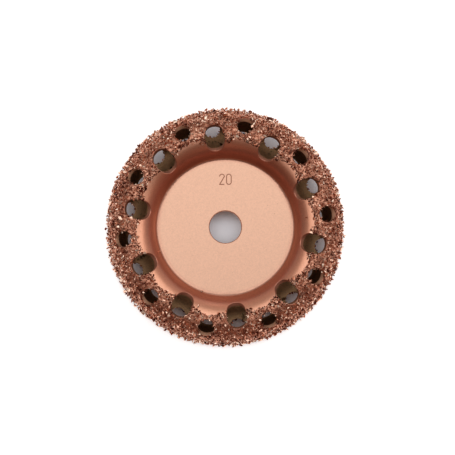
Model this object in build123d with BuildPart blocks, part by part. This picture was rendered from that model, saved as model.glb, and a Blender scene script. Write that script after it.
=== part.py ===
"""Carving disc for a small angle grinder: a hollow steel ring wheel, coated with carbide grit.

Two alike shells are pressed from sheet steel, each a flat centre plate with half of a round
hollow ring about it.  Two rings of holes are punched in the flat blank, and pressing the
ring draws them long, so their walls stand square to it.  The shells lie back to back, the
rear one turned about half a hole pitch.  A braze film between the plates and a bead round
the rim hold them together.  A bed of braze on each half of the ring carries the coarse grit.

Millimetres.  The origin is the middle of the bore, midway between the two plates.  +Z is
the wheel's axis, towards the marked front face.
"""

import os
from math import asin, cos, degrees, radians, sin, sqrt, tan

from build123d import *

# ---- Driving dimensions -------------------------------------------------------------------

bore_diameter = 10.0  # slips over the register of the grinder's clamping flange
bore_chamfer = 0.2
sheet_thickness = 1.5  # pressed steel sheet of both shells
ring_centre_radius = 28.8  # wheel axis to the middle of the ring's section
ring_section_radius = 7.4  # outer radius of the ring's steel
heel_radius = 1.0  # inside corner where the plate turns up into the ring
braze_gap = 0.1  # between the two shells, filled with braze
hub_film_inset = 0.3  # the braze film stops this short of the bore and of the heel
rim_chamfer = 0.4  # on both shells' rims, so that the two make a groove for the bead

braze_thickness = 0.25  # bed of braze under the grit
grit_thickness = 1.0  # carbide grit on the braze
coat_inset = 1.0  # ring's centre circle to the coats' inner edge, on the inner slope
coat_hole_clearance = 0.1  # the coats stay back from the holes' rounded edges

hole_count = 10  # of each size, in each shell
chip_hole_length = 8.2  # large holes: straight across the mouth, in the ring's section
chip_hole_width = 6.1
chip_hole_lean = 11.0  # degrees from the wheel axis, the mouth turned towards the axis
vent_hole_length = 5.6  # small holes, midway between the large ones
vent_hole_width = 5.0
vent_hole_lean = -24.5  # the mouth turned away from the axis
mouth_rounding = 0.2  # edge radius round the holes, outside
front_turn = 7.0  # degrees from +X to the front shell's first small hole
shell_turn = 18.5  # degrees from there to the rear shell's first small hole

mark_radius = 14.9  # wheel axis to the middle of the grit number on the front plate
mark_height = 3.2
mark_width = 1.45  # of one digit
mark_gap = 0.7  # between the two digits
mark_stroke = 0.3
mark_depth = 0.15

# ---- Worked out from them ------------------------------------------------------------------

hole_pitch = 360 / hole_count
bore_radius = bore_diameter / 2
mating_height = braze_gap / 2
plate_face = mating_height + sheet_thickness
shell_radius = ring_centre_radius + ring_section_radius
inner_section_radius = ring_section_radius - sheet_thickness
coat_inner_radius = ring_centre_radius - coat_inset
braze_section_radius = ring_section_radius + braze_thickness
grit_section_radius = braze_section_radius + grit_thickness
coat_hole_margin = mouth_rounding + coat_hole_clearance
punch_start_reach = inner_section_radius / 2  # from the middle of the ring's section
punch_end_reach = grit_section_radius + sheet_thickness  # past the grit
rear_turn = front_turn + shell_turn
mark_shift = (mark_width + mark_gap) / 2  # middle of each digit, either side of the middle
mark_rise = (mark_height - mark_width) / 2  # centre of the digits' round ends

# The heel touches both the plate's face and the ring's section.
heel_rise = sheet_thickness + heel_radius
heel_reach = ring_section_radius + heel_radius
heel_lean = degrees(asin(heel_rise / heel_reach))
heel_centre_radius = ring_centre_radius - sqrt(heel_reach**2 - heel_rise**2)


def ring_punch(length, width, lean, margin=0):
    """Cutter for one hole through the ring at +X, with end walls square to the section.

    Its sides are parallel, and its ends lie on lines from the middle of the ring's section.
    """
    half_spread = asin((length / 2 + margin) / ring_section_radius)
    tilt = radians(lean)
    drill = Vector(-sin(tilt), 0, cos(tilt))
    middle = Vector(ring_centre_radius, 0, mating_height)
    with BuildPart() as punch:
        for reach in (punch_start_reach, punch_end_reach):
            with BuildSketch(
                Plane(
                    origin=middle + drill * reach,
                    x_dir=(cos(tilt), 0, sin(tilt)),
                    z_dir=drill,
                )
            ):
                Ellipse(reach * tan(half_spread), width / 2 + margin)
        loft(ruled=True)
    return punch.part


chip_punch = ring_punch(chip_hole_length, chip_hole_width, chip_hole_lean)
vent_punch = ring_punch(vent_hole_length, vent_hole_width, vent_hole_lean)
chip_clearance = ring_punch(
    chip_hole_length, chip_hole_width, chip_hole_lean, coat_hole_margin
)
vent_clearance = ring_punch(
    vent_hole_length, vent_hole_width, vent_hole_lean, coat_hole_margin
)

# ---- The shells: one pressing, used twice ---------------------------------------------------

with BuildPart() as pressing:
    with BuildSketch(Plane.XZ):
        with BuildLine():
            plate = Line((bore_radius, plate_face), (heel_centre_radius, plate_face))
            heel = JernArc(plate @ 1, plate % 1, heel_radius, 90 - heel_lean)
            JernArc(heel @ 1, heel % 1, ring_section_radius, heel_lean - 180)
            offset(amount=sheet_thickness, side=Side.RIGHT)
        make_face()
    revolve(axis=Axis.Z)
    mating_circles = pressing.edges().filter_by(GeomType.CIRCLE).group_by(Axis.Z)[0]
    chamfer(mating_circles.sort_by(SortBy.RADIUS)[-1], length=rim_chamfer)
    plate_circles = pressing.faces().filter_by(Plane.XY).sort_by(Axis.Z)[-1].edges()
    chamfer(plate_circles.sort_by(SortBy.RADIUS)[0], length=bore_chamfer)
    with PolarLocations(0, hole_count):
        add(vent_punch, mode=Mode.SUBTRACT)
    with PolarLocations(0, hole_count, start_angle=hole_pitch / 2):
        add(chip_punch, mode=Mode.SUBTRACT)
    ring_face = pressing.faces().filter_by(GeomType.TORUS).sort_by(SortBy.AREA)[-1]
    mouth_edges = ring_face.edges().filter_by(GeomType.CIRCLE, reverse=True)
    fillet(mouth_edges, radius=mouth_rounding)

with BuildPart() as front_shell:
    add(pressing.part, rotation=(0, 0, front_turn))
    # The grit number, cut with a single stroke: a two and a nought.
    with BuildSketch(Plane.XY.offset(plate_face)):
        with BuildLine():
            CenterArc((-mark_shift, mark_radius + mark_rise), mark_width / 2, 0, 180)
            Polyline(
                (-mark_gap / 2, mark_radius + mark_rise),
                (-mark_gap / 2 - mark_width, mark_radius - mark_height / 2),
                (-mark_gap / 2, mark_radius - mark_height / 2),
            )
        trace(line_width=mark_stroke)
        with Locations((mark_shift, mark_radius)):
            SlotCenterToCenter(2 * mark_rise, mark_width + mark_stroke, rotation=90)
            SlotCenterToCenter(
                2 * mark_rise, mark_width - mark_stroke, rotation=90, mode=Mode.SUBTRACT
            )
    extrude(amount=-mark_depth, mode=Mode.SUBTRACT)
front_shell.part.label = "front_shell"

with BuildPart() as rear_shell:
    add(pressing.part, rotation=(180, 0, -rear_turn))
rear_shell.part.label = "rear_shell"

# ---- The braze between them -----------------------------------------------------------------

with BuildPart() as hub_braze_film:
    with BuildSketch(Plane.XY.offset(-mating_height)):
        Circle(heel_centre_radius - hub_film_inset)
        Circle(bore_radius + hub_film_inset, mode=Mode.SUBTRACT)
    extrude(amount=braze_gap)
hub_braze_film.part.label = "hub_braze_film"

with BuildPart() as rim_braze_seam:
    # Fills the gap under both rims and the groove outside it, flush with the ring.
    with BuildSketch(Plane.XZ):
        with Locations((ring_centre_radius, 0)):
            Circle(ring_section_radius)
        with Locations((shell_radius - sheet_thickness, 0)):
            Rectangle(
                sheet_thickness,
                2 * (mating_height + rim_chamfer),
                align=(Align.MIN, Align.CENTER),
                mode=Mode.INTERSECT,
            )
    revolve(axis=Axis.Z)
    add(front_shell.part, mode=Mode.SUBTRACT)
    add(rear_shell.part, mode=Mode.SUBTRACT)
rim_braze_seam.part.label = "rim_braze_seam"

# ---- The coats: braze and grit on each half of the ring --------------------------------------


def half_coat(under_radius, over_radius):
    """One layer on the front half of the ring, from the rim to its edge on the inner slope.

    It is turned as the pressing is, with a small hole at +X.
    """
    with BuildPart() as layer:
        with BuildSketch(Plane.XZ):
            with Locations((ring_centre_radius, mating_height)):
                Circle(over_radius)
                Circle(under_radius, mode=Mode.SUBTRACT)
            with Locations((coat_inner_radius, 0)):
                Rectangle(
                    shell_radius,
                    shell_radius,
                    align=Align.MIN,
                    mode=Mode.INTERSECT,
                )
        revolve(axis=Axis.Z)
        with PolarLocations(0, hole_count):
            add(vent_clearance, mode=Mode.SUBTRACT)
        with PolarLocations(0, hole_count, start_angle=hole_pitch / 2):
            add(chip_clearance, mode=Mode.SUBTRACT)
    return layer.part


braze_layer = half_coat(ring_section_radius, braze_section_radius)
grit_layer = half_coat(braze_section_radius, grit_section_radius)

with BuildPart() as front_braze_coat:
    add(braze_layer, rotation=(0, 0, front_turn))
front_braze_coat.part.label = "front_braze_coat"

with BuildPart() as rear_braze_coat:
    add(braze_layer, rotation=(180, 0, -rear_turn))
rear_braze_coat.part.label = "rear_braze_coat"

with BuildPart() as front_grit_coat:
    add(grit_layer, rotation=(0, 0, front_turn))
front_grit_coat.part.label = "front_grit_coat"

with BuildPart() as rear_grit_coat:
    add(grit_layer, rotation=(180, 0, -rear_turn))
rear_grit_coat.part.label = "rear_grit_coat"

# ---- Files ----------------------------------------------------------------------------------

os.makedirs("parts", exist_ok=True)
export_step(front_shell.part, "parts/front_shell.step")
export_step(rear_shell.part, "parts/rear_shell.step")
export_step(hub_braze_film.part, "parts/hub_braze_film.step")
export_step(rim_braze_seam.part, "parts/rim_braze_seam.step")
export_step(front_braze_coat.part, "parts/front_braze_coat.step")
export_step(rear_braze_coat.part, "parts/rear_braze_coat.step")
export_step(front_grit_coat.part, "parts/front_grit_coat.step")
export_step(rear_grit_coat.part, "parts/rear_grit_coat.step")
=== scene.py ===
"""Carving disc for a small angle grinder: its finishes, its grit and the studio round it.

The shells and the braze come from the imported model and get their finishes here.  The two
grit coats are replaced by thousands of separate crushed grains, brazed onto the ring.

Everything is in metres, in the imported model's own frame: the origin is the middle of the
bore, and +Z is the wheel's axis, towards the marked front face.
"""

import logging
import random
from dataclasses import dataclass, field
from enum import Enum
from itertools import product
from math import acos, asin, atan2, cos, degrees, exp, hypot, pi, radians, sin, sqrt, tan
from typing import Any, Iterator

import bmesh
import bpy
import numpy as np
from mathutils import Matrix, Vector, noise


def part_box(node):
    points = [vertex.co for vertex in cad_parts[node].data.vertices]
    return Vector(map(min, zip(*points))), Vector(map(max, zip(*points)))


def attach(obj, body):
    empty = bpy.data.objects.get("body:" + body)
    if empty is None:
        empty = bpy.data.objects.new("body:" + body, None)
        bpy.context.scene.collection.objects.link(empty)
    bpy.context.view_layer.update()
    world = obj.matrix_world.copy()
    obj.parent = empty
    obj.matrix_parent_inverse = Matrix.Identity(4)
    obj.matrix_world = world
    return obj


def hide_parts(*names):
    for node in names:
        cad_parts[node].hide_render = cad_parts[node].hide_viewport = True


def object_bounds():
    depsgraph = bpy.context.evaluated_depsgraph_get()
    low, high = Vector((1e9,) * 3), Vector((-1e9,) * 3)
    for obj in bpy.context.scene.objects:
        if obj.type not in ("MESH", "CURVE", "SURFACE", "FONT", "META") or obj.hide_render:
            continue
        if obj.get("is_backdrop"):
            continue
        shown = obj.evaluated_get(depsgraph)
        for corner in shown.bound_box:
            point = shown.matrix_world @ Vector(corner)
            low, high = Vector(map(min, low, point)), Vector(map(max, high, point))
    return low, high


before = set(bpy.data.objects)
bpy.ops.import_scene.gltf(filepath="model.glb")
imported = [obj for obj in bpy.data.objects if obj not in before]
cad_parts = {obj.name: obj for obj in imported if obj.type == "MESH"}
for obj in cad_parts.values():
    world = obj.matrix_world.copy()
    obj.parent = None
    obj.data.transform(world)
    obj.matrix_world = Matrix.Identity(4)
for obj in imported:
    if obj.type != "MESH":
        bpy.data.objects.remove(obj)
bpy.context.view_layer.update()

Colour = tuple[float, float, float, float]
Stops = tuple[tuple[float, Colour], ...]

MM = 0.001
BAKE_MAP = "OFBake"
TONE = "grain_tone"
VENT_ROW = 0.0  # where the row of small holes starts, in hole pitches from the first of them
CHIP_ROW = 0.5  # where the row of large holes starts

log = logging.getLogger("carving_disc")


# ---- Shader maths ---------------------------------------------------------------------------


class Value:
    """One output socket of a shader tree, with arithmetic that adds Math nodes."""

    def __init__(self, tree: "NodeTree", socket: bpy.types.NodeSocket) -> None:
        """Wraps a socket.

        Args:
            tree: The tree that the socket belongs to.
            socket: The output socket.
        """
        self.tree = tree
        self.socket = socket

    def _math(self, operation: str, *terms: Any) -> "Value":
        """Adds one Math node.

        Args:
            operation: The node's operation.
            terms: Its values, in order.

        Returns:
            The node's result.
        """
        return self.tree.value("ShaderNodeMath", {"operation": operation}, dict(enumerate(terms)))

    def __add__(self, other: Any) -> "Value":
        """Gives self + other."""
        return self._math("ADD", self, other)

    def __radd__(self, other: Any) -> "Value":
        """Gives other + self."""
        return self._math("ADD", other, self)

    def __sub__(self, other: Any) -> "Value":
        """Gives self - other."""
        return self._math("SUBTRACT", self, other)

    def __rsub__(self, other: Any) -> "Value":
        """Gives other - self."""
        return self._math("SUBTRACT", other, self)

    def __mul__(self, other: Any) -> "Value":
        """Gives self * other."""
        return self._math("MULTIPLY", self, other)

    def __rmul__(self, other: Any) -> "Value":
        """Gives other * self."""
        return self._math("MULTIPLY", other, self)

    def __truediv__(self, other: Any) -> "Value":
        """Gives self / other."""
        return self._math("DIVIDE", self, other)

    def __rtruediv__(self, other: Any) -> "Value":
        """Gives other / self."""
        return self._math("DIVIDE", other, self)

    def above(self, low: float, high: float) -> "Value":
        """Fades from 0 at low to 1 at high, smoothly.  With low over high it fades the other way.

        Args:
            low: Where the result is 0.
            high: Where the result is 1.

        Returns:
            The mask.
        """
        return self.tree.value(
            "ShaderNodeMapRange",
            {"interpolation_type": "SMOOTHSTEP"},
            {"Value": self, "From Min": low, "From Max": high},
        )


class NodeTree:
    """A shader tree and the calls that add to it."""

    def __init__(self, tree: bpy.types.NodeTree) -> None:
        """Wraps a tree.

        Args:
            tree: The tree of a material or of the surroundings.
        """
        self.tree = tree

    def node(
        self,
        kind: str,
        settings: dict[str, Any] | None = None,
        values: dict[str | int, Any] | None = None,
    ) -> bpy.types.Node:
        """Adds any node.

        Args:
            kind: The node's type.
            settings: Its own settings, set first.  "stops" fills a colour ramp.
            values: Numbers, colours or Values for its sockets, by name or place.

        Returns:
            The new node.
        """
        made = self.tree.nodes.new(kind)
        for name, setting in (settings or {}).items():
            if name == "stops":
                for stop, (place, colour) in enumerate(setting):
                    stops = made.color_ramp.elements
                    element = stops[stop] if stop < len(stops) else stops.new(place)
                    element.position, element.color = place, colour
            else:
                setattr(made, name, setting)
        self.feed(made, values or {})
        return made

    def feed(self, node: bpy.types.Node, values: dict[str | int, Any]) -> None:
        """Fills a node's sockets.

        Args:
            node: The node.
            values: Numbers, colours or Values to link, by the socket's name or place.
        """
        for name, value in values.items():
            if isinstance(value, Value):
                self.tree.links.new(value.socket, node.inputs[name])
            else:
                node.inputs[name].default_value = value

    def value(
        self,
        kind: str,
        settings: dict[str, Any] | None = None,
        values: dict[str | int, Any] | None = None,
        output: str | int = 0,
    ) -> Value:
        """Adds a node and gives one of its outputs.

        Args:
            kind: The node's type.
            settings: Its own settings.
            values: What goes into its sockets.
            output: The output's name or place.

        Returns:
            The output.
        """
        return Value(self, self.node(kind, settings, values).outputs[output])

    def parts(self, vector: Value) -> tuple[Value, Value, Value]:
        """Gives a vector's X, Y and Z."""
        made = self.node("ShaderNodeSeparateXYZ", values={0: vector})
        return tuple(Value(self, made.outputs[axis]) for axis in "XYZ")

    def length(self, across: Value, up: Value) -> Value:
        """Gives the length of the line that goes so far across and so far up."""
        squares = across * across + up * up
        return self.value("ShaderNodeMath", {"operation": "SQRT"}, {0: squares})

    def ramp(self, stops: Stops, place: Value) -> Value:
        """Gives a colour ramp's colour at a place from 0 to 1."""
        return self.value("ShaderNodeValToRGB", {"stops": stops}, {0: place})

    def cloud(
        self, place: Value, size: float, detail: float = 2.0, roughness: float = 0.5
    ) -> Value:
        """Adds soft noise.

        Args:
            place: Where it is read.
            size: How far apart its blotches are, in metres.
            detail: How many finer layers it has.
            roughness: How strong those are.

        Returns:
            The noise, about 0.5 in the middle.
        """
        values = {"Vector": place, "Scale": 1 / size, "Detail": detail, "Roughness": roughness}
        return self.value("ShaderNodeTexNoise", values=values)

    def blend(self, mask: Value | float, under: Any, over: Any) -> Value:
        """Mixes two colours.

        Args:
            mask: 0 for the first, 1 for the second.
            under: The first colour.
            over: The second colour.

        Returns:
            The mixed colour.
        """
        return self.value("ShaderNodeMix", {"data_type": "RGBA"}, {0: mask, 6: under, 7: over}, 2)

    def shaded(self, colour: Value, factor: Value) -> Value:
        """Multiplies a colour by a number that varies.

        Args:
            colour: The colour.
            factor: The number.

        Returns:
            The new colour.
        """
        return self.value(
            "ShaderNodeVectorMath", {"operation": "SCALE"}, {"Vector": colour, "Scale": factor}
        )

    def bumps(self, height: Value, depth: float) -> Value:
        """Turns a height into a normal.

        Args:
            height: The height, from 0 to 1.
            depth: What 1 stands for, in metres.

        Returns:
            The normal.
        """
        values = {"Strength": 1.0, "Distance": depth, "Height": height}
        return self.value("ShaderNodeBump", values=values, output="Normal")


class Shader(NodeTree):
    """A material's tree, with its one Principled shader."""

    def __init__(self, name: str) -> None:
        """Starts a new material.

        Args:
            name: The material's name.
        """
        self.material = bpy.data.materials.new(name)
        self.material.use_nodes = True
        super().__init__(self.material.node_tree)

    def place(self) -> Value:
        """Gives the spot on the piece, in metres in the model's frame."""
        return self.value("ShaderNodeTexCoord", output="Object")

    def dress(self, values: dict[str, Any]) -> bpy.types.Material:
        """Feeds the Principled shader and gives the finished material."""
        self.feed(self.tree.nodes["Principled BSDF"], values)
        return self.material


# ---- The ring's form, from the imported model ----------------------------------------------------


class Half(Enum):
    """The two halves of the ring.  The value is the sign of their side along the axis."""

    FRONT = 1
    REAR = -1

    @property
    def label(self) -> str:
        """Gives the name that the half's nodes and pieces start with."""
        return self.name.lower()


@dataclass(frozen=True)
class RingForm:
    """The hollow ring's section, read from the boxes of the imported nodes.

    A spot on a half of the ring is given by its turn round the wheel's axis and by its slope,
    the angle round the section, 0 at the rim and 90 degrees on the crown.
    """

    centre_radius: float
    mating_height: float
    steel_radius: float
    bed_radius: float
    top_radius: float
    sheet_thickness: float = 1.5 * MM
    coat_inset: float = 1.0 * MM

    @classmethod
    def measured(cls) -> "RingForm":
        """Reads the form from the front half's boxes.

        Returns:
            The form.
        """
        shell_low, shell_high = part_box("front_shell")
        _, bed_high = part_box("front_braze_coat")
        _, grit_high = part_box("front_grit_coat")
        bed_radius = bed_high.z - shell_low.z
        return cls(
            centre_radius=bed_high.x - bed_radius,
            mating_height=shell_low.z,
            steel_radius=shell_high.z - shell_low.z,
            bed_radius=bed_radius,
            top_radius=grit_high.z - shell_low.z,
        )

    @property
    def plate_face(self) -> float:
        """Gives the height of the front plate's face."""
        return self.mating_height + self.sheet_thickness

    def out(self, slope: float, radius: float) -> float:
        """Gives the way from the wheel's axis to a slope, at a radius of the section."""
        return self.centre_radius + radius * cos(slope)

    def seat(self, slope: float) -> float:
        """Gives the radius of the section that grit stands on: braze, or bare steel."""
        coated = self.out(slope, self.bed_radius) > self.centre_radius - self.coat_inset
        return self.bed_radius if coated else self.steel_radius

    def spot(self, half: Half, turn: float, slope: float, radius: float) -> Vector:
        """Gives a point at a distance from the middle of the section.

        Args:
            half: Which half of the ring.
            turn: Radians round the wheel's axis.
            slope: Radians round the section.
            radius: The distance from the section's middle.

        Returns:
            The point.
        """
        out = self.out(slope, radius)
        up = half.value * (self.mating_height + radius * sin(slope))
        return Vector((out * cos(turn), out * sin(turn), up))

    def facing(self, half: Half, turn: float, slope: float) -> Vector:
        """Gives the outward direction of the ring's surface at a turn and a slope."""
        return Vector((cos(slope) * cos(turn), cos(slope) * sin(turn), half.value * sin(slope)))


@dataclass(frozen=True)
class HoleRow:
    """One row of punched holes, alike in both halves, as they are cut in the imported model."""

    length: float
    width: float
    lean: float
    end_room: float
    side_room: float
    heel_room: float

    def clear(self, ring: RingForm, offset: float, slope: float, spare: float) -> bool:
        """Says whether a spot on the bed stands clear of one hole.

        Args:
            ring: The ring's form.
            offset: Radians from the hole's own turn to the spot's.
            slope: The spot's angle round the section.
            spare: What the spot needs beyond the row's own room.

        Returns:
            True if it is clear.
        """
        out = ring.out(slope, ring.bed_radius)
        across = out * sin(offset)
        inward = out * cos(offset) - ring.centre_radius
        up = ring.bed_radius * sin(slope)
        tilt = radians(self.lean)
        reach = up * cos(tilt) - inward * sin(tilt)
        along = inward * cos(tilt) + up * sin(tilt)
        if reach <= 0:
            return True
        spread = tan(asin(self.length / 2 / ring.steel_radius))
        half_length = reach * spread + (self.end_room if along > 0 else self.heel_room) + spare
        half_width = self.width / 2 + self.side_room + spare
        return hypot(along / half_length, across / half_width) > 1


# ---- Finishes ----------------------------------------------------------------------------------


@dataclass(frozen=True)
class CopperPlating:
    """Satin copper plate on the pressed shells, with brown oxide inside the hollow ring.

    The tones and the colours of the cut edges are read across the wheel, from their start over
    their span.  The tones dip darker and redder in the groove beside the plate: painted shade.
    The cut edges go near black and then bright along it: painted shade and painted light.  A
    level is the two noise values between which a mask fades in.
    """

    slope_start: float = 20 * MM
    slope_span: float = 8 * MM
    # Dips darker and redder from about 22 to 23.4 mm, in the groove beside the plate: painted shade
    # over the copper's own tone.
    tones: Stops = (
        (0.0, (0.84, 0.53, 0.39, 1.0)),
        (0.12, (0.78, 0.45, 0.33, 1.0)),
        (0.26, (0.65, 0.32, 0.235, 1.0)),
        (0.42, (0.66, 0.31, 0.225, 1.0)),
        (0.58, (0.82, 0.37, 0.245, 1.0)),
        (0.76, (0.90, 0.46, 0.31, 1.0)),
        (1.0, (0.89, 0.50, 0.36, 1.0)),
    )
    least_shade: float = 0.83
    satin_shade: float = 0.28
    blotch_shade: float = 0.06
    speck: Colour = (0.36, 0.16, 0.10, 1.0)
    speck_size: float = 0.5 * MM
    speck_level: tuple[float, float] = (0.735, 0.79)
    speck_strength: float = 0.5
    stamped: Colour = (0.24, 0.085, 0.055, 1.0)
    stamped_strength: float = 0.8
    stamped_depth: tuple[float, float] = (0.03 * MM, 0.13 * MM)
    stamped_face: tuple[float, float] = (0.5, 0.7)
    stamped_inner: tuple[float, float] = (8 * MM, 8.5 * MM)
    stamped_outer: tuple[float, float] = (18 * MM, 17.5 * MM)
    stain: Colour = (0.66, 0.33, 0.23, 1.0)
    stain_edge: float = 28.0 * MM
    stain_fade: float = 0.5 * MM
    stain_wander: float = 2.0 * MM
    wall_start: float = 22 * MM
    wall_span: float = 14 * MM
    # Along the sheet's cut edges the colour goes near black round 28.6 mm and bright at 33.8 mm:
    # painted shade and painted light on the holes' cut sides, not a change of metal.
    painted_wall_shading: Stops = (
        (0.0, (0.78, 0.40, 0.28, 1.0)),
        (0.30, (0.70, 0.35, 0.24, 1.0)),
        (0.47, (0.30, 0.15, 0.09, 1.0)),
        (0.72, (0.52, 0.26, 0.17, 1.0)),
        (0.84, (1.0, 0.66, 0.46, 1.0)),
    )
    oxide: Colour = (0.72, 0.465, 0.265, 1.0)
    least_oxide_shade: float = 0.7
    oxide_shade: float = 0.6
    # Dark brown of the burn spots, which also stands for the painted shade towards the rim.
    burnt_and_shade: Colour = (0.12, 0.055, 0.022, 1.0)
    burnt_size: float = 2.6 * MM
    burnt_level: tuple[float, float] = (0.62, 0.74)
    # Painted shade inside the ring: from here outwards the oxide fades towards the dark brown, deep
    # in the hollow where little light reaches.
    rim_shade_from: float = 29.5 * MM
    rim_shade_by: float = 32.0 * MM
    rim_shade_strength: float = 0.85
    inside_rise: tuple[float, float] = (0.30 * MM, 0.05 * MM)
    outside_drop: tuple[float, float] = (0.3 * MM, 0.1 * MM)
    blotch: float = 14 * MM
    satin: float = 0.45 * MM
    satin_roughness: float = 0.6
    fine: float = 0.12 * MM
    fine_share: float = 0.3
    depth: float = 0.006 * MM
    roughness: float = 0.34
    blotch_roughness: float = 0.04
    inside_roughness: float = 0.17
    wall_roughness: float = 0.3
    inside_dulling: float = 0.3
    wall_dulling: float = 0.35

    def material(self, name: str, ring: RingForm) -> bpy.types.Material:
        """Makes the plating for one shell.

        Args:
            name: The material's name.
            ring: The ring's form, which says where its inside is.

        Returns:
            The material.
        """
        shader = Shader(name)
        place = shader.place()
        x, y, z = shader.parts(place)
        out = shader.length(x, y)
        from_section = shader.length(out - ring.centre_radius, z)
        inner_face = ring.steel_radius - ring.sheet_thickness
        inside = from_section.above(*(inner_face + rise for rise in self.inside_rise))
        outside = from_section.above(*(ring.steel_radius - drop for drop in self.outside_drop))
        sheared = (1 - inside) * (1 - outside)
        blotches = shader.cloud(place, self.blotch)
        satin = shader.cloud(place, self.satin, roughness=self.satin_roughness)
        fine = shader.cloud(place, self.fine, detail=1.0)
        specks = shader.cloud(place, self.speck_size, detail=1.0).above(*self.speck_level)

        rise = (out - self.slope_start) / self.slope_span
        # The ramp's dark, red dip in the groove is painted shade.
        copper = shader.ramp(self.tones, rise)
        shade = self.least_shade + satin * self.satin_shade + blotches * self.blotch_shade
        copper = shader.shaded(copper, shade)
        ragged = out + (blotches + satin - 1) * self.stain_wander
        stain = ragged.above(self.stain_edge - self.stain_fade, self.stain_edge) * outside
        copper = shader.blend(stain, copper, self.stain)
        # Painted shade and painted light on the cut edges, by distance from the axis.
        shaded_wall = shader.ramp(self.painted_wall_shading, (out - self.wall_start) / self.wall_span)
        copper = shader.blend(sheared, copper, shaded_wall)
        copper = shader.blend(specks * self.speck_strength, copper, self.speck)
        stamp = self._stamp(out, z, ring) * self.stamped_strength
        copper = shader.blend(stamp, copper, self.stamped)
        oxide = shader.shaded(
            self._oxide(shader, place, out), self.least_oxide_shade + satin * self.oxide_shade
        )

        rough = blotches * self.blotch_roughness + inside * self.inside_roughness
        height = satin * (1 - self.fine_share) + fine * self.fine_share
        return shader.dress(
            {
                "Base Color": shader.blend(inside, copper, oxide),
                "Metallic": 1 - inside * self.inside_dulling - sheared * self.wall_dulling,
                "Roughness": self.roughness + rough + sheared * self.wall_roughness,
                "Normal": shader.bumps(height, self.depth),
            }
        )

    def _oxide(self, shader: Shader, place: Value, out: Value) -> Value:
        """Colours the inside of the ring, with burn spots, and darker towards the rim: painted
        shade deep in the hollow.

        Args:
            shader: The shader.
            place: The spot on the shell.
            out: The distance from the wheel's axis.

        Returns:
            The colour.
        """
        burnt_and_shade = shader.cloud(place, self.burnt_size).above(*self.burnt_level)
        # Painted shade deep in the hollow, towards the rim.
        rim_shade = out.above(self.rim_shade_from, self.rim_shade_by) * self.rim_shade_strength
        return shader.blend(burnt_and_shade + rim_shade - burnt_and_shade * rim_shade, self.oxide, self.burnt_and_shade)

    def _stamp(self, out: Value, height: Value, ring: RingForm) -> Value:
        """Masks the floor of the stamped number, the only face just under the plate's.

        Args:
            out: The distance from the wheel's axis.
            height: The height along it.
            ring: The ring's form.

        Returns:
            The mask.
        """
        sunk = height.above(*(ring.plate_face - depth for depth in self.stamped_depth))
        front = height.above(*(ring.plate_face * share for share in self.stamped_face))
        return sunk * front * out.above(*self.stamped_outer) * out.above(*self.stamped_inner)


@dataclass(frozen=True)
class CopperBraze:
    """Once-molten copper braze: rounded ripples, darker and redder in their hollows, which is
    painted shade.
    """

    bright: Colour = (0.82, 0.44, 0.31, 1.0)
    # Darker, redder copper for the ripples' hollows: painted shade.
    hollow_shade: Colour = (0.48, 0.20, 0.13, 1.0)
    hollow_shade_level: tuple[float, float] = (0.62, 0.40)
    ripple: float = 0.9 * MM
    ripple_detail: float = 3.0
    ripple_roughness: float = 0.55
    depth: float = 0.25 * MM
    roughness: float = 0.34
    hollow_roughness: float = 0.15

    def material(self, name: str) -> bpy.types.Material:
        """Makes the braze.

        Args:
            name: The material's name.

        Returns:
            The material.
        """
        shader = Shader(name)
        ripples = shader.cloud(
            shader.place(), self.ripple, self.ripple_detail, self.ripple_roughness
        )
        # Painted shade in the ripples' low parts.
        shaded_hollows = ripples.above(*self.hollow_shade_level)
        return shader.dress(
            {
                "Base Color": shader.blend(shaded_hollows, self.bright, self.hollow_shade),
                "Metallic": 1.0,
                "Roughness": self.roughness + shaded_hollows * self.hollow_roughness,
                "Normal": shader.bumps(ripples, self.depth),
            }
        )


@dataclass(frozen=True)
class BrazedGrit:
    """Crushed carbide wetted by the copper: every grain has a tone, and its foot is darker, which
    is painted shade.
    """

    tones: Stops = (
        (0.0, (0.24, 0.09, 0.06, 1.0)),
        (0.28, (0.64, 0.33, 0.23, 1.0)),
        (0.62, (0.97, 0.61, 0.46, 1.0)),
        (1.0, (1.0, 0.76, 0.61, 1.0)),
    )
    # Dark colour for the grains' lower parts near the bed: painted shade in the gaps between them.
    foot: Colour = (0.15, 0.07, 0.048, 1.0)
    foot_shade_rise: float = 0.45 * MM
    foot_shade_strength: float = 0.85
    film: float = 0.25 * MM
    film_grain: float = 0.6
    film_tone: float = 0.3
    depth: float = 0.03 * MM
    roughness: float = 0.10
    film_roughness: float = 0.12
    foot_roughness: float = 0.1

    def material(self, name: str, ring: RingForm) -> bpy.types.Material:
        """Makes the grit for one piece.

        Args:
            name: The material's name.
            ring: The ring's form, which says where the grains' feet are.

        Returns:
            The material.
        """
        shader = Shader(name)
        place = shader.place()
        x, y, z = shader.parts(place)
        from_section = shader.length(shader.length(x, y) - ring.centre_radius, z)
        # Painted shade on the grains' lower parts, full at the steel and gone 0.45 mm above the
        # braze.
        feet = from_section.above(ring.bed_radius + self.foot_shade_rise, ring.steel_radius)
        tone = shader.value("ShaderNodeAttribute", {"attribute_name": TONE}, output="Fac")
        film = shader.cloud(place, self.film, roughness=self.film_grain)
        colour = shader.ramp(self.tones, tone + (film - 0.5) * self.film_tone)
        rough = film * self.film_roughness + feet * self.foot_roughness
        return shader.dress(
            {
                "Base Color": shader.blend(feet * self.foot_shade_strength, colour, self.foot),
                "Metallic": 1.0,
                "Roughness": self.roughness + rough,
                "Normal": shader.bumps(film, self.depth),
            }
        )


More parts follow.
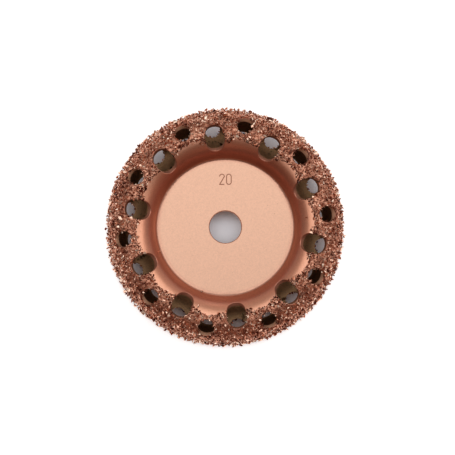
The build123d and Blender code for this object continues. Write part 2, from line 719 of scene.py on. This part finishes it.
@dataclass(frozen=True)
class PaleFloor:
    """The studio floor: matt and almost white, with a glow of its own.

    Under the wheel the glow is weaker: it is strongest in the middle of the bore, falls off
    beneath the ring and comes back towards the rim.
    """

    tone: Colour = (0.90, 0.90, 0.905, 1.0)
    roughness: float = 0.85
    texture: float = 4 * MM
    depth: float = 0.02 * MM
    open_glow: Colour = (1.0, 1.0, 1.0, 1.0)
    covered_glow: Colour = (0.84, 0.90, 0.98, 1.0)
    no_glow: Colour = (0.0, 0.0, 0.0, 1.0)
    lit: float = 0.60
    lit_under: float = 0.24
    bore_light: tuple[float, float] = (6.5 * MM, 1 * MM)
    bore_gain: float = 0.9
    bore_shade: tuple[float, float] = (0.5 * MM, 5.5 * MM)
    bore_reach: tuple[float, float] = (9 * MM, 7 * MM)
    bore_loss: float = 0.95
    ring_shade: tuple[float, float] = (12 * MM, 24 * MM)
    ring_loss: float = 0.62
    ring_slant: float = 14.0
    rim_light: tuple[float, float] = (29.5 * MM, 33 * MM)
    rim_gain: float = 0.45
    open_floor: tuple[float, float] = (35 * MM, 39 * MM)

    def material(self, name: str) -> bpy.types.Material:
        """Makes the floor's paint.

        Args:
            name: The material's name.

        Returns:
            The material.
        """
        shader = Shader(name)
        place = shader.place()
        x, y, _ = shader.parts(place)
        out = shader.length(x, y)
        bore_light = out.above(*self.bore_light) * self.bore_gain
        bore_shade = y.above(*self.bore_shade) * out.above(*self.bore_reach) * self.bore_loss
        ring_shade = out.above(*self.ring_shade) * (self.ring_loss - y * self.ring_slant)
        rim_light = out.above(*self.rim_light) * self.rim_gain
        under = 1 + bore_light - bore_shade - ring_shade + rim_light
        covered = shader.blend(under * self.lit_under, self.no_glow, self.covered_glow)
        return shader.dress(
            {
                "Base Color": self.tone,
                "Roughness": self.roughness,
                "Normal": shader.bumps(shader.cloud(place, self.texture), self.depth),
                "Emission Color": shader.blend(
                    out.above(*self.open_floor), covered, self.open_glow
                ),
                "Emission Strength": self.lit,
            }
        )


# ---- The grit ------------------------------------------------------------------------------------


@dataclass(frozen=True)
class BakeDiscs:
    """Where one grain's faces lie in a unit square: upper ones in one disc, lower in another."""

    upper_middle: float = 0.25
    lower_middle: float = 0.75
    height_middle: float = 0.5
    half_width: float = 0.235
    half_height: float = 0.47
    farthest: float = 1.36
    least_flat: float = 1e-6

    def spots(self, corners: np.ndarray, faces: tuple[tuple[int, ...], ...]) -> np.ndarray:
        """Lays the faces out, each corner by its direction from the grain's middle.

        Args:
            corners: The grain's corners.
            faces: The corners' numbers, face by face.

        Returns:
            A spot for each corner of each face.
        """
        ways = corners / np.linalg.norm(corners, axis=1, keepdims=True)
        spots: list[tuple[float, float]] = []
        for face in faces:
            side = 1.0 if corners[list(face)].mean(axis=0)[2] >= 0 else -1.0
            middle = self.upper_middle if side > 0 else self.lower_middle
            for corner in face:
                x, y, z = ways[corner]
                reach = sqrt(max(1 - side * z, 0.0)) / self.farthest
                reach /= max(hypot(x, y), self.least_flat)
                across = middle + self.half_width * reach * x
                spots.append((across, self.height_middle + self.half_height * reach * y))
        return np.array(spots)


@dataclass(frozen=True)
class GrainShape:
    """One crushed grain: a small solid with flat broken faces, its longest reach about 1."""

    corners: np.ndarray
    faces: tuple[tuple[int, ...], ...]
    bake_spots: np.ndarray


@dataclass(frozen=True)
class Crusher:
    """Breaks the shapes that both coats' grains are drawn from.

    Widths and heights are shares of a grain's length.  Flat faces join where they meet
    within an angle, in degrees, and the edges are worn by a share of the length.
    """

    shape_count: int = 28
    seed: int = 7
    corner_counts: tuple[int, int] = (7, 11)
    widths: tuple[float, float] = (0.52, 0.80)
    heights: tuple[float, float] = (0.42, 0.66)
    reaches: tuple[float, float] = (0.72, 1.0)
    flat_angle: float = 11.0
    worn: float = 0.03

    def shapes(self) -> list[GrainShape]:
        """Breaks all the shapes, the same ones each time."""
        draw = random.Random(self.seed)
        return [self._broken(draw) for _ in range(self.shape_count)]

    def _broken(self, draw: random.Random) -> GrainShape:
        """Breaks one shape.

        Args:
            draw: The source of chance.

        Returns:
            The shape.
        """
        mesh = bmesh.new()
        corner_count = draw.randint(*self.corner_counts)
        stretch = Vector((1.0, draw.uniform(*self.widths), draw.uniform(*self.heights)))
        for _ in range(corner_count):
            way = Vector([draw.gauss(0, 1) for _ in range(3)]).normalized()
            mesh.verts.new(way * draw.uniform(*self.reaches) * stretch)
        hull = bmesh.ops.convex_hull(mesh, input=mesh.verts)
        spare = [item for item in hull["geom_interior"] if isinstance(item, bmesh.types.BMVert)]
        bmesh.ops.delete(mesh, geom=spare, context="VERTS")
        bmesh.ops.dissolve_limit(
            mesh, angle_limit=radians(self.flat_angle), verts=mesh.verts, edges=mesh.edges
        )
        bmesh.ops.bevel(
            mesh,
            geom=mesh.edges[:],
            offset=self.worn,
            offset_type="OFFSET",
            segments=1,
            profile=0.5,
            affect="EDGES",
        )
        bmesh.ops.recalc_face_normals(mesh, faces=mesh.faces)
        mesh.verts.index_update()
        corners = np.array([vert.co for vert in mesh.verts])
        corners /= np.abs(corners).max()
        faces = tuple(tuple(vert.index for vert in face.verts) for face in mesh.faces)
        mesh.free()
        return GrainShape(corners, faces, BakeDiscs().spots(corners, faces))


@dataclass(frozen=True)
class Grain:
    """One grain in its place on the ring."""

    shape: int
    middle: Vector
    turned: Matrix
    size: float
    tone: float


@dataclass(frozen=True)
class SieveSize:
    """One sieve size of grit: half its grains' length, how close they lie and how they stand."""

    shortest: float
    longest: float
    spacing: float
    lift: tuple[float, float]
    tries: int


@dataclass
class TakenSpots:
    """The spots that grains already stand on, sorted into cells to find near ones quickly."""

    cell: float
    cells: dict[tuple[int, ...], list[Vector]] = field(default_factory=dict)

    def _home(self, spot: Vector) -> tuple[int, ...]:
        """Gives the cell that a spot is in."""
        return tuple(int(part // self.cell) for part in spot)

    def crowds(self, spot: Vector, spacing: float) -> bool:
        """Says whether a taken spot is nearer to this one than a spacing of a cell or less.

        Args:
            spot: The spot to try.
            spacing: The least distance.

        Returns:
            True if one is.
        """
        x, y, z = self._home(spot)
        return any(
            (other - spot).length < spacing
            for dx, dy, dz in product((-1, 0, 1), repeat=3)
            for other in self.cells.get((x + dx, y + dy, z + dz), ())
        )

    def take(self, spot: Vector) -> None:
        """Marks a spot as taken."""
        self.cells.setdefault(self._home(spot), []).append(spot)


@dataclass
class GritCoat:
    """The grit on one half of the ring, as separate grains, in three pieces round it.

    Its inner edge wanders in waves, each so many to a radian and so strong, and dips towards
    the axis beside each large hole, so many degrees from it.  The edge is set more thickly.
    Strays are single grains beyond it, each at a turn in degrees and a distance from the axis.
    """

    half: Half
    ring: RingForm
    first_vent_turn: float
    seed: int
    hole_count: int = 10
    sectors: int = 3
    last_slope: float = 120.0
    inner_edge: float = 27.3 * MM
    edge_wander: float = 0.9 * MM
    edge_waves: tuple[tuple[float, float], ...] = ((3.0, 1.0), (14.0, 0.7))
    edge_row: float = 1.7
    edge_dip: float = 1.3 * MM
    dip_place: float = 7.0
    dip_width: float = 4.5
    thick_edge: float = 28.6 * MM
    thick_slope: float = 1.0
    edge_spacing: float = 0.66
    hole_wander: float = 0.12 * MM
    proud: float = 0.45 * MM
    tone_middle: float = 0.46
    tone_spread: float = 0.36
    chip_holes: HoleRow = HoleRow(
        length=8.2 * MM,
        width=6.1 * MM,
        lean=11.0,
        end_room=0.05 * MM,
        side_room=0.0,
        heel_room=0.35 * MM,
    )
    vent_holes: HoleRow = HoleRow(
        length=5.6 * MM,
        width=5.0 * MM,
        lean=-24.5,
        end_room=-0.30 * MM,
        side_room=-0.28 * MM,
        heel_room=-0.12 * MM,
    )
    coarse: SieveSize = SieveSize(
        shortest=0.56 * MM,
        longest=0.84 * MM,
        spacing=1.55 * MM,
        lift=(0.9, 1.4),
        tries=9000,
    )
    medium: SieveSize = SieveSize(
        shortest=0.48 * MM,
        longest=0.68 * MM,
        spacing=0.92 * MM,
        lift=(0.10, 0.95),
        tries=28000,
    )
    fine: SieveSize = SieveSize(
        shortest=0.34 * MM,
        longest=0.48 * MM,
        spacing=0.55 * MM,
        lift=(-0.10, 0.50),
        tries=44000,
    )
    strays: tuple[tuple[float, float], ...] = ()
    grains: list[Grain] = field(default_factory=list)

    def edge_radius(self, turn: float) -> float:
        """Gives the ragged inner edge of the grit, from the wheel's axis.

        Args:
            turn: Radians round the axis.

        Returns:
            The radius, lower beside the large holes.
        """
        around = Vector((cos(turn), sin(turn), self.seed * self.edge_row))
        wander = sum(strength * noise.noise(around * often) for often, strength in self.edge_waves)
        from_hole = abs(degrees(self._from_hole(turn, CHIP_ROW)))
        beside = (from_hole - self.dip_place) / self.dip_width
        return self.inner_edge + self.edge_wander * wander - self.edge_dip * exp(-beside**2)

    def _from_hole(self, turn: float, row: float) -> float:
        """Gives the way to a spot from the nearest hole of a row.

        Args:
            turn: Radians round the axis.
            row: Where the row starts, in hole pitches from the first small hole.

        Returns:
            Radians round the axis.
        """
        pitch = 2 * pi / self.hole_count
        offset = (turn - radians(self.first_vent_turn)) / pitch - row
        return (offset - round(offset)) * pitch

    def _open(self, turn: float, slope: float, spare: float) -> bool:
        """Says whether a spot on the bed is free of holes and inside the grit's edge.

        Args:
            turn: Radians round the axis.
            slope: Radians round the section.
            spare: What the spot needs beyond the rows' own room.

        Returns:
            True if it is.
        """
        if slope > pi / 2 and self.ring.out(slope, self.ring.bed_radius) < self.edge_radius(turn):
            return False
        return all(
            holes.clear(self.ring, self._from_hole(turn, row), slope, spare)
            for holes, row in ((self.vent_holes, VENT_ROW), (self.chip_holes, CHIP_ROW))
        )

    def _spots(self, draw: random.Random, tries: int) -> Iterator[tuple[float, float]]:
        """Draws spots, even over the ring's surface.

        Args:
            draw: The source of chance.
            tries: How many are tried.  Fewer come out, because the ring has less room inside.

        Returns:
            The spots, one at a time, each as a turn and a slope.
        """
        widest = self.ring.out(0.0, self.ring.bed_radius)
        for _ in range(tries):
            slope = draw.uniform(0.0, radians(self.last_slope))
            if draw.random() * widest < self.ring.out(slope, self.ring.bed_radius):
                yield draw.uniform(0, 2 * pi), slope

    def scatter(self, shapes: list[GrainShape]) -> None:
        """Places the grains, the largest first, none nearer to another than its spacing.

        Args:
            shapes: The shapes that they are drawn from.
        """
        draw = random.Random(self.seed)
        taken = TakenSpots(self.coarse.spacing)
        for sieve in (self.coarse, self.medium, self.fine):
            for turn, slope in self._spots(draw, sieve.tries):
                spot = self.ring.spot(self.half, turn, slope, self.ring.bed_radius)
                near_edge = self.ring.out(slope, self.ring.bed_radius) < self.thick_edge
                thick = near_edge and slope > self.thick_slope
                if taken.crowds(spot, sieve.spacing * (self.edge_spacing if thick else 1)):
                    continue
                if not self._open(turn, slope, draw.uniform(-self.hole_wander, self.hole_wander)):
                    continue
                taken.take(spot)
                self._set_grain(draw, shapes, sieve, turn, slope)
        for turn_degrees, out in self.strays:
            slope = acos((out - self.ring.centre_radius) / self.ring.steel_radius)
            self._set_grain(draw, shapes, self.medium, radians(turn_degrees), slope)

    def _set_grain(
        self,
        draw: random.Random,
        shapes: list[GrainShape],
        sieve: SieveSize,
        turn: float,
        slope: float,
    ) -> None:
        """Turns one grain at random and sinks its foot into the braze.

        Args:
            draw: The source of chance.
            shapes: The shapes to choose from.
            sieve: The grain's size class.
            turn: Radians round the axis.
            slope: Radians round the section.
        """
        shape = draw.randrange(len(shapes))
        size = draw.uniform(sieve.shortest, sieve.longest)
        angles = [draw.uniform(0, 2 * pi) for _ in range(3)]
        turned = (
            Matrix.Rotation(angles[0], 3, "Z")
            @ Matrix.Rotation(angles[1], 3, "Y")
            @ Matrix.Rotation(angles[2], 3, "X")
        )
        facing = self.ring.facing(self.half, turn, slope)
        reach = size * (shapes[shape].corners @ np.array(turned.transposed() @ facing)).max()
        room = self.ring.top_radius - self.ring.bed_radius - reach
        height = min(size * draw.uniform(*sieve.lift), room + draw.uniform(-self.proud, self.proud))
        middle = self.ring.spot(self.half, turn, slope, self.ring.seat(slope) + height)
        tone = min(max(draw.gauss(self.tone_middle, self.tone_spread), 0.0), 1.0)
        self.grains.append(Grain(shape, middle, turned, size, tone))

    def build(self, shapes: list[GrainShape], finish: BrazedGrit) -> None:
        """Makes the pieces, one for each sector.

        Args:
            shapes: The shapes that the grains were drawn from.
            finish: What covers them.
        """
        width = 2 * pi / self.sectors
        sorted_grains: list[list[Grain]] = [[] for _ in range(self.sectors)]
        for grain in self.grains:
            turn = atan2(grain.middle.y, grain.middle.x) % (2 * pi)
            sorted_grains[min(int(turn / width), self.sectors - 1)].append(grain)
        for number, grains in enumerate(sorted_grains, start=1):
            name = f"{self.half.label}_grit_{number}"
            piece = bpy.data.objects.new(name, self._mesh(name, shapes, grains))
            bpy.context.scene.collection.objects.link(piece)
            piece.data.materials.append(finish.material(f"brazed_grit_{name}", self.ring))
            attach(piece, "root")
            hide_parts(f"{self.half.label}_grit_coat")
            log.info("%s: %d grains, %d faces", name, len(grains), len(piece.data.polygons))

    @staticmethod
    def _mesh(name: str, shapes: list[GrainShape], grains: list[Grain]) -> bpy.types.Mesh:
        """Joins grains into one mesh, each with its tone and its own cell of the bake map.

        Args:
            name: The mesh's name.
            shapes: The shapes that the grains were drawn from.
            grains: The grains.

        Returns:
            The mesh.
        """
        corners, faces, spots, tones = [], [], [], []
        across = int(np.ceil(np.sqrt(len(grains) / 2)))
        first = 0
        for place, grain in enumerate(grains):
            shape = shapes[grain.shape]
            turned = np.array(grain.turned)
            corners.append(shape.corners @ turned.T * grain.size + np.array(grain.middle))
            faces.extend(tuple(first + corner for corner in face) for face in shape.faces)
            cell = np.array((place % across, place // across))
            spots.append((cell + shape.bake_spots) / (across, 2 * across))
            tones.append(np.full(len(shape.corners), grain.tone))
            first += len(shape.corners)
        mesh = bpy.data.meshes.new(name)
        mesh.from_pydata(np.concatenate(corners).tolist(), [], faces)
        layer = mesh.uv_layers.new(name=BAKE_MAP)
        layer.uv.foreach_set("vector", np.concatenate(spots).astype(np.float32).ravel())
        tone = mesh.attributes.new(TONE, "FLOAT", "POINT")
        tone.data.foreach_set("value", np.concatenate(tones).astype(np.float32))
        mesh.update()
        return mesh


# ---- The shells and the braze ------------------------------------------------------------------


@dataclass(frozen=True)
class BrazedShells:
    """The two pressed shells and the braze that joins them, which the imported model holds."""

    ring: RingForm
    plating: CopperPlating = CopperPlating()
    braze: CopperBraze = CopperBraze()

    def dress(self) -> None:
        """Gives every kept node its finish."""
        for half in Half:
            name = f"{half.label}_shell"
            self._finish(name, self.plating.material(f"copper_plating_{name}", self.ring))
        for name in ("hub_braze_film", "rim_braze_seam", "front_braze_coat", "rear_braze_coat"):
            self._finish(name, self.braze.material(f"copper_braze_{name}"))

    @staticmethod
    def _finish(name: str, material: bpy.types.Material) -> None:
        """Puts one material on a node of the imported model.

        Args:
            name: The node's name.
            material: The material.
        """
        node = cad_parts[name]
        if not node.material_slots:
            node.data.materials.append(material)
        for slot in node.material_slots:
            slot.material = material
        log.info("%s: %s", name, material.name)


# ---- The studio ----------------------------------------------------------------------------------


@dataclass(frozen=True)
class SoftBox:
    """One square-cornered studio light, aimed at the wheel's middle."""

    name: str
    place: tuple[float, float, float]
    width: float
    height: float
    radiance: float
    colour: tuple[float, float, float] = (1.0, 1.0, 1.0)

    def build(self) -> None:
        """Makes the light and points it."""
        lamp = bpy.data.lights.new(self.name, "AREA")
        lamp.shape, lamp.size, lamp.size_y = "RECTANGLE", self.width, self.height
        lamp.energy = self.radiance * pi * self.width * self.height
        lamp.color = self.colour
        made = bpy.data.objects.new(self.name, lamp)
        made.location = self.place
        way = Vector((0.0, 0.0, 0.0)) - Vector(self.place)
        made.rotation_euler = way.to_track_quat("-Z", "Y").to_euler()
        bpy.context.scene.collection.objects.link(made)


@dataclass(frozen=True)
class Studio:
    """The floor, the lights and the camera."""

    floor_height: float
    floor_span: float = 8.0
    floor_cells: int = 8
    camera_distance: float = 0.370
    camera_lean: tuple[float, float] = (-1.0, -2.0)
    aim: tuple[float, float, float] = (0.65 * MM, -0.15 * MM, 1.5 * MM)
    view_angle: float = 21.7
    sensor_width: float = 36.0
    nearest_seen: float = 0.01
    sky: Stops = (
        (0.0, (0.40, 0.40, 0.40, 1.0)),
        (0.49, (0.29, 0.29, 0.29, 1.0)),
        (0.64, (0.29, 0.29, 0.29, 1.0)),
        (0.84, (0.24, 0.24, 0.24, 1.0)),
        (0.90, (0.16, 0.16, 0.16, 1.0)),
        (1.0, (0.20, 0.20, 0.20, 1.0)),
    )
    side_glow: tuple[float, float] = (0.15, 0.65)
    warm_side: tuple[float, float] = (0.1, -0.6)
    warm: tuple[float, float, float] = (1.0, 0.66, 0.56)
    white: Colour = (1.0, 1.0, 1.0, 1.0)

    def build(self) -> None:
        """Sets up the whole studio."""
        self._floor()
        self._sky()
        for light in (
            SoftBox("overhead_box", (-0.04, 0.15, 0.80), width=1.5, height=0.65, radiance=0.80),
            SoftBox("side_box", (0.75, 0.0, 0.75), width=0.32, height=0.32, radiance=1.2),
            SoftBox("back_box", (0.15, 0.97, 0.25), width=0.3, height=0.2, radiance=0.5),
            SoftBox(
                "low_box",
                (0.0, -0.85, 0.55),
                width=0.7,
                height=0.4,
                radiance=0.16,
                colour=self.warm,
            ),
        ):
            light.build()
        self._camera()
        bpy.context.scene.view_settings.view_transform = "Standard"
        bpy.context.scene.view_settings.look = "Medium High Contrast"

    def _floor(self) -> None:
        """Lays the floor."""
        mesh = bmesh.new()
        cells = self.floor_cells
        bmesh.ops.create_grid(mesh, x_segments=cells, y_segments=cells, size=self.floor_span / 2)
        bmesh.ops.translate(mesh, vec=(0, 0, self.floor_height), verts=mesh.verts)
        made = bpy.data.meshes.new("floor")
        mesh.to_mesh(made)
        mesh.free()
        floor = bpy.data.objects.new("floor", made)
        bpy.context.scene.collection.objects.link(floor)
        made.materials.append(PaleFloor().material("pale_floor"))
        floor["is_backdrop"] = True

    def _sky(self) -> None:
        """Lights the surroundings, which are dimmer and warmer on the side towards -Y."""
        world = bpy.data.worlds.new("studio")
        world.use_nodes = True
        bpy.context.scene.world = world
        sky = NodeTree(world.node_tree)
        x, y, z = sky.parts(sky.value("ShaderNodeTexCoord", output="Generated"))
        glow = sky.ramp(self.sky, (z + 1) * 0.5)
        tint = sky.blend(y.above(*self.warm_side), self.white, (*self.warm, 1.0))
        tinted = sky.value("ShaderNodeVectorMath", {"operation": "MULTIPLY"}, {0: glow, 1: tint})
        side = 1 + x * self.side_glow[0] + y * self.side_glow[1]
        sky.feed(world.node_tree.nodes["Background"], {"Color": sky.shaded(tinted, side)})

    def _camera(self) -> None:
        """Sets the camera over the front face, a little below and to the left of the axis."""
        lens = bpy.data.cameras.new("camera")
        lens.sensor_width = self.sensor_width
        lens.lens = self.sensor_width / 2 / tan(radians(self.view_angle / 2))
        lens.clip_start = self.nearest_seen
        camera = bpy.data.objects.new("camera", lens)
        lean_x, lean_y = (sin(radians(angle)) for angle in self.camera_lean)
        way = Vector((lean_x, lean_y, sqrt(1 - lean_x**2 - lean_y**2)))
        right = Vector((0.0, 1.0, 0.0)).cross(way).normalized()
        turned = Matrix((right, way.cross(right), way)).transposed()
        camera.location = Vector(self.aim) + way * self.camera_distance
        camera.rotation_euler = turned.to_euler()
        bpy.context.scene.collection.objects.link(camera)
        bpy.context.scene.camera = camera


# ---- The whole disc ------------------------------------------------------------------------------


def main() -> None:
    """Builds the disc's looks and its studio, and writes how large the result is."""
    logging.basicConfig(level=logging.INFO, format="%(message)s")
    ring = RingForm.measured()
    BrazedShells(ring).dress()
    shapes = Crusher().shapes()
    coats = (
        GritCoat(
            Half.FRONT,
            ring,
            first_vent_turn=7.0,
            seed=11,
            strays=((250.8, 25.9 * MM), (249.9, 21.6 * MM), (200.9, 22.3 * MM), (6.4, 25.1 * MM)),
        ),
        GritCoat(
            Half.REAR,
            ring,
            first_vent_turn=25.5,
            seed=23,
            vent_holes=HoleRow(
                length=5.6 * MM,
                width=5.0 * MM,
                lean=-24.5,
                end_room=0.0,
                side_room=-0.1 * MM,
                heel_room=-0.35 * MM,
            ),
        ),
    )
    for coat in coats:
        coat.scatter(shapes)
        coat.build(shapes, BrazedGrit())
    Studio(floor_height=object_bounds()[0].z).build()


if __name__ == "__main__":
    main()
